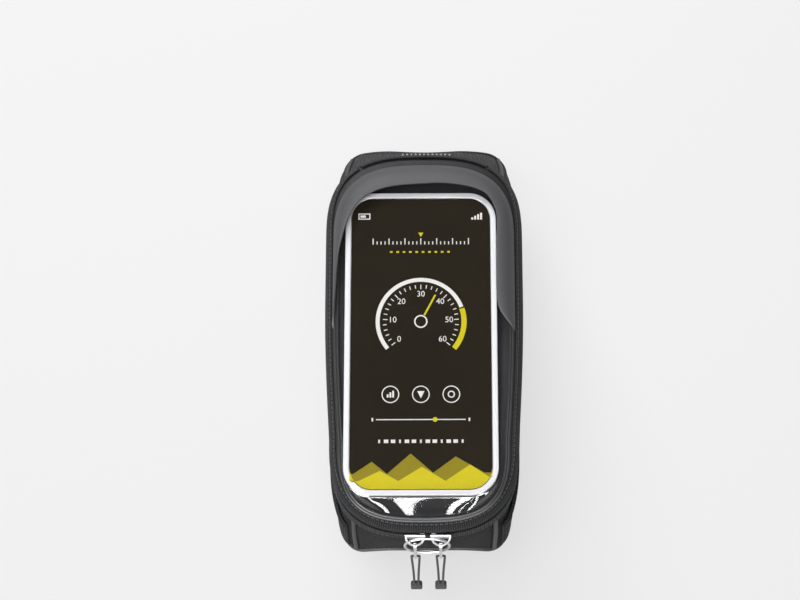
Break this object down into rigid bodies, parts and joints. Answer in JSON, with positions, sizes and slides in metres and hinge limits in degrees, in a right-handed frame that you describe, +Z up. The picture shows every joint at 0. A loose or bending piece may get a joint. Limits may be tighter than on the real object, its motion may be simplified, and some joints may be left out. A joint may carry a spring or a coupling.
{
  "type": "top tube phone bag",
  "caption": "Zipped bag for a bicycle's top tube with a clear phone window in its lid, a sun visor round the window and pullers tied by a ring.",
  "frame": {"origin": "middle of the grip pad's underside, where the bag sits on the top tube", "axes": "+Z up, +Y forward to the handlebar, +X to the rider's right"},
  "size_m": [0.1014, 0.2407, 0.1196],
  "materials": {
    "woven_fabric": "matt laminated weave",
    "spacer_mesh": "open mesh",
    "moulded_shell": "matt foam-backed moulding",
    "zip_tape": "ribbed tape",
    "zip_coil": "satin",
    "piping": "satin",
    "visor_sheet": "satin coated sheet",
    "clear_film": "glossy clear film",
    "white_frame": "satin",
    "dark_screen": "gloss with a printed display",
    "zinc_plate": "bright nickel plate",
    "black_cord": "braided",
    "rubber_pad": "matt",
    "foam": "soft foam",
    "board": "matt",
    "webbing": "hook and loop webbing"
  },
  "bodies": {
    "bag": {"base_panel": "woven_fabric", "base_board": "board", "base_piping": "piping", "grip_pad": "rubber_pad", "rear_panel": "woven_fabric", "left_side_panel": "woven_fabric", "right_side_panel": "woven_fabric", "front_panel": "spacer_mesh", "left_rear_piping": "piping", "right_rear_piping": "piping", "left_front_piping": "piping", "right_front_piping": "piping", "left_side_pocket": "spacer_mesh", "right_side_pocket": "spacer_mesh", "left_pocket_binding": "piping", "right_pocket_binding": "piping", "lower_zip_tape": "zip_tape", "lower_zip_coil": "zip_coil", "hinge_strip": "zip_tape", "rear_strap": "webbing", "front_strap": "webbing", "link_ring": "zinc_plate"},
    "lid": {"lid_shell": "moulded_shell", "upper_zip_tape": "zip_tape", "upper_zip_coil": "zip_coil", "lid_hinge_strip": "zip_tape", "window_film": "clear_film", "window_piping": "piping", "visor": "visor_sheet", "insert_frame": "white_frame", "insert_screen": "dark_screen", "foam_pad": "foam", "pocket_back": "woven_fabric", "pocket_loop_strip": "webbing", "pocket_hook_strip": "webbing"},
    "left_slider": {"left_slider": "zinc_plate"},
    "right_slider": {"right_slider": "zinc_plate"},
    "left_tab": {"left_pull_tab": "zinc_plate", "left_pull_cord": "black_cord", "left_cord_end": "rubber_pad"},
    "right_tab": {"right_pull_tab": "zinc_plate", "right_pull_cord": "black_cord", "right_cord_end": "rubber_pad"}
  },
  "joints": [
    {"name": "lid_hinge", "type": "hinge", "parent": "bag", "child": "lid", "pos_m": [0, 0.0845, 0.0531], "axis": [-1, 0, 0], "range_deg": [0, 95]},
    {"name": "left_slider_travel", "type": "slide", "parent": "bag", "child": "left_slider", "axis": [-1, 0, 0], "range_m": [-0.0002, 0.0024]},
    {"name": "right_slider_travel", "type": "slide", "parent": "bag", "child": "right_slider", "axis": [1, 0, 0], "range_m": [-0.001, 0.0016]},
    {"name": "left_tab_swing", "type": "hinge", "parent": "left_slider", "child": "left_tab", "pos_m": [-0.00465, -0.11615, 0.0531], "axis": [-1, 0, 0], "range_deg": [0, 100]},
    {"name": "right_tab_swing", "type": "hinge", "parent": "right_slider", "child": "right_tab", "pos_m": [0.00805, -0.11615, 0.0531], "axis": [-1, 0, 0], "range_deg": [0, 100]}
  ]
}
